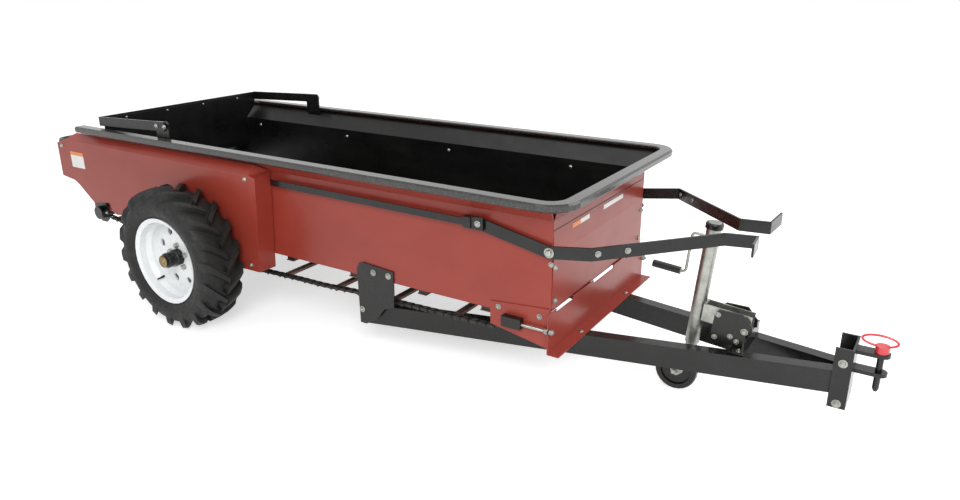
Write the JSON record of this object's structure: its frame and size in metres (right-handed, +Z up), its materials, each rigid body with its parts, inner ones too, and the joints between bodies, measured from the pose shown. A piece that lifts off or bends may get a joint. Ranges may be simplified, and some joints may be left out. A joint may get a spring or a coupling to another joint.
{
  "type": "towed manure spreader",
  "caption": "Towed manure spreader with an open-top tub, apron conveyor, rear beater, ground-wheel axle, V-shaped drawbar and swing-up jack with a caster.",
  "frame": {"origin": "on the ground, under the middle of the box round the whole part", "axes": "+X towards the hitch, +Y to the left of the machine as it is towed, +Z up"},
  "size_m": [4.135, 1.542, 0.94],
  "materials": {
    "red_paint": "satin",
    "black_paint": "satin",
    "black_liner": "satin",
    "white_paint": "gloss",
    "tyre_rubber": "matte",
    "zinc": "zinc plated",
    "chain_steel": "oiled",
    "pin_red": "gloss"
  },
  "bodies": {
    "machine": {"apron_bearing_left": "black_paint", "apron_bearing_right": "black_paint", "apron_conveyor": "chain_steel", "apron_shaft_front": "chain_steel", "apron_shaft_rear": "chain_steel", "axle": "black_paint", "axle_hanger_left": "black_paint", "axle_hanger_right": "black_paint", "chain_guard_left": "red_paint", "chain_guard_right": "red_paint", "control_lever_left": "black_paint", "control_lever_right": "black_paint", "front_panel": "red_paint", "front_shield": "red_paint", "gusset_left": "black_paint", "gusset_right": "black_paint", "hitch_pin": "pin_red", "hitch_post": "black_paint", "jack_mount": "black_paint", "link_bar_left": "black_paint", "link_bar_right": "black_paint", "rear_flap": "black_liner", "rear_guard_frame": "black_paint", "safety_bar": "black_paint", "side_panel_left": "red_paint", "side_panel_right": "red_paint", "skirt_left": "red_paint", "skirt_right": "red_paint", "take_up_left": "black_paint", "take_up_right": "black_paint", "tongue_crossmember": "black_paint", "tongue_rail_left": "black_paint", "tongue_rail_right": "black_paint", "tub_floor": "black_paint", "tub_liner": "black_liner", "tub_rim": "black_paint"},
    "wheel_right": {"tyre_right": "tyre_rubber", "rim_right": "white_paint", "hub_right": "black_paint"},
    "wheel_left": {"tyre_left": "tyre_rubber", "rim_left": "white_paint", "hub_left": "black_paint"},
    "beater": {"beater": "black_paint"},
    "jack": {"jack_tube": "zinc", "jack_crank": "zinc"},
    "jack_leg": {"jack_leg": "zinc"},
    "caster": {"caster_fork": "zinc"},
    "caster_wheel": {"caster_wheel": "black_paint"}
  },
  "joints": [
    {"name": "wheel_right_spin", "type": "hinge", "parent": "machine", "child": "wheel_right", "pos_m": [-0.9175, 0, 0.343], "axis": [0, 1, 0], "continuous": true},
    {"name": "wheel_left_spin", "type": "hinge", "parent": "machine", "child": "wheel_left", "pos_m": [-0.9175, 0, 0.343], "axis": [0, 1, 0], "continuous": true},
    {"name": "beater_spin", "type": "hinge", "parent": "machine", "child": "beater", "pos_m": [-1.8175, 0, 0.62], "axis": [0, 1, 0], "continuous": true},
    {"name": "jack_swing", "type": "hinge", "parent": "machine", "child": "jack", "pos_m": [1.5625, -0.02, 0.33], "axis": [0, 1, 0], "range_deg": [0, 85]},
    {"name": "jack_leg_slide", "type": "slide", "parent": "jack", "child": "jack_leg", "axis": [0.0872, 0, 0.9962], "range_m": [-0.25, 0.02]},
    {"name": "caster_swivel", "type": "hinge", "parent": "jack_leg", "child": "caster", "pos_m": [1.35616, -0.02, 0.18945], "axis": [0.0872, 0, 0.9962], "continuous": true},
    {"name": "caster_wheel_spin", "type": "hinge", "parent": "caster", "child": "caster_wheel", "pos_m": [1.30816, -0.02, 0.085], "axis": [0, 1, 0], "continuous": true}
  ]
}
